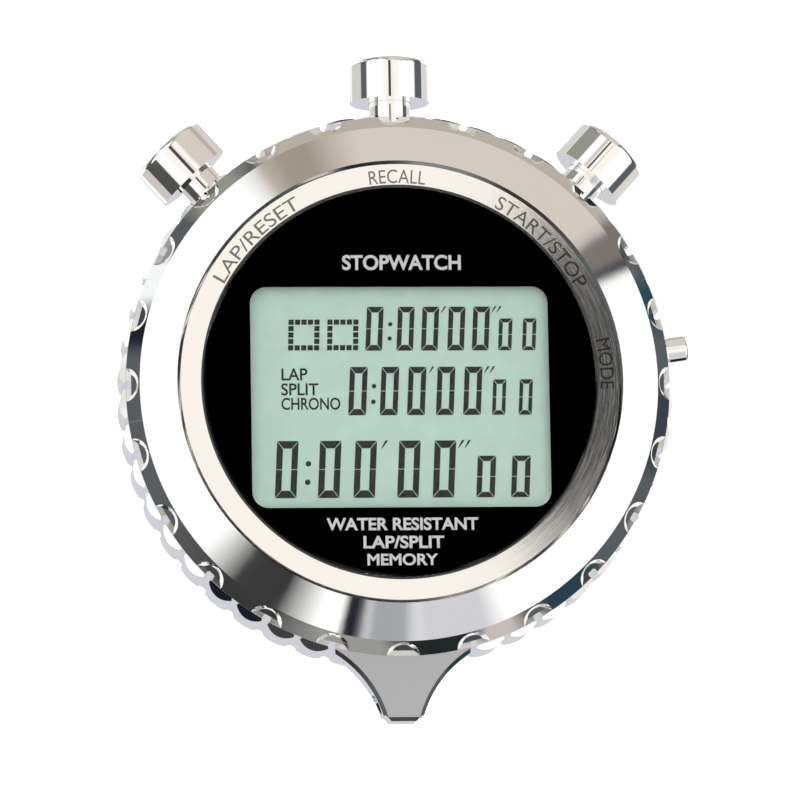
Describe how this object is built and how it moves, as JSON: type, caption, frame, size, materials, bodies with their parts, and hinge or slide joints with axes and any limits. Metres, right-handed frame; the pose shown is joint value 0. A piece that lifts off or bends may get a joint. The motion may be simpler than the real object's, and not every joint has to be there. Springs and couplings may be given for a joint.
{
  "type": "digital stopwatch",
  "caption": "Round all-metal handheld digital stopwatch with a coin edge, dimpled bezel, plunger buttons round the top, an LCD behind a flat lens and a lanyard lug.",
  "frame": {"origin": "centre of the flat outer face of the back cover, on the case axis", "axes": "+Z out through the lens, +Y from the lanyard lug towards the top button, +X towards the small mode button's side"},
  "size_m": [0.0668, 0.0782, 0.0185],
  "materials": {
    "case_metal": "polished",
    "bezel_metal": "polished",
    "button_metal": "polished",
    "label_metal": "satin",
    "back_metal": "brushed",
    "steel_part": "satin",
    "seal_rubber": "matte",
    "lens_clear": "clear",
    "dial_black": "satin",
    "lcd_film": "satin",
    "lcd_glass": "clear",
    "zebra_rubber": "matte",
    "frame_plastic": "moulded",
    "spacer_plastic": "moulded",
    "board_green": "solder mask",
    "chip_epoxy": "potted",
    "contact_brass": "plain",
    "ceramic": "fired",
    "battery_steel": "satin"
  },
  "bodies": {
    "case": {"case_middle": "case_metal", "bezel": "bezel_metal", "bezel_gasket": "seal_rubber", "label_ring": "label_metal", "lens": "lens_clear", "lens_gasket": "seal_rubber", "dial_mask": "dial_black", "lcd_polariser": "lcd_film", "lcd_front_glass": "lcd_glass", "lcd_rear_glass": "lcd_glass", "lcd_reflector": "lcd_film", "zebra_strips": "zebra_rubber", "module_frame": "frame_plastic", "circuit_board": "board_green", "chip_cover": "chip_epoxy", "quartz_crystal": "steel_part", "capacitors": "ceramic", "battery_holder": "frame_plastic", "battery": "battery_steel", "battery_clip": "contact_brass", "battery_contact": "contact_brass", "module_screws": "steel_part", "module_spacer": "spacer_plastic", "buzzer_plate": "contact_brass", "buzzer_ceramic": "ceramic", "buzzer_spring": "steel_part", "back_cover": "back_metal", "back_gasket": "seal_rubber", "back_screws": "steel_part", "recall_tube": "button_metal", "recall_spring": "steel_part", "recall_contact": "contact_brass", "lap_reset_tube": "button_metal", "lap_reset_spring": "steel_part", "lap_reset_contact": "contact_brass", "start_stop_tube": "button_metal", "start_stop_spring": "steel_part", "start_stop_contact": "contact_brass", "mode_tube": "button_metal", "mode_spring": "steel_part", "mode_contact": "contact_brass"},
    "recall_button": {"recall_head": "button_metal", "recall_stem": "steel_part", "recall_seal": "seal_rubber", "recall_clip": "steel_part"},
    "lap_reset_button": {"lap_reset_head": "button_metal", "lap_reset_stem": "steel_part", "lap_reset_seal": "seal_rubber", "lap_reset_clip": "steel_part"},
    "start_stop_button": {"start_stop_head": "button_metal", "start_stop_stem": "steel_part", "start_stop_seal": "seal_rubber", "start_stop_clip": "steel_part"},
    "mode_button": {"mode_head": "button_metal", "mode_stem": "steel_part", "mode_seal": "seal_rubber", "mode_clip": "steel_part"}
  },
  "joints": [
    {"name": "recall_press", "type": "slide", "parent": "case", "child": "recall_button", "axis": [0, -1, 0], "range_m": [0, 0.0012], "stiffness_N_per_m": 900, "springref_m": -0.0012, "deforming": ["recall_spring", "recall_contact"]},
    {"name": "lap_reset_press", "type": "slide", "parent": "case", "child": "lap_reset_button", "axis": [0.673, -0.7396, 0], "range_m": [0, 0.0012], "stiffness_N_per_m": 900, "springref_m": -0.0012, "deforming": ["lap_reset_spring", "lap_reset_contact"]},
    {"name": "start_stop_press", "type": "slide", "parent": "case", "child": "start_stop_button", "axis": [-0.673, -0.7396, 0], "range_m": [0, 0.0012], "stiffness_N_per_m": 900, "springref_m": -0.0012, "deforming": ["start_stop_spring", "start_stop_contact"]},
    {"name": "mode_press", "type": "slide", "parent": "case", "child": "mode_button", "axis": [-0.9897, -0.1435, 0], "range_m": [0, 0.0009], "stiffness_N_per_m": 500, "springref_m": -0.0009, "deforming": ["mode_spring", "mode_contact"]}
  ]
}
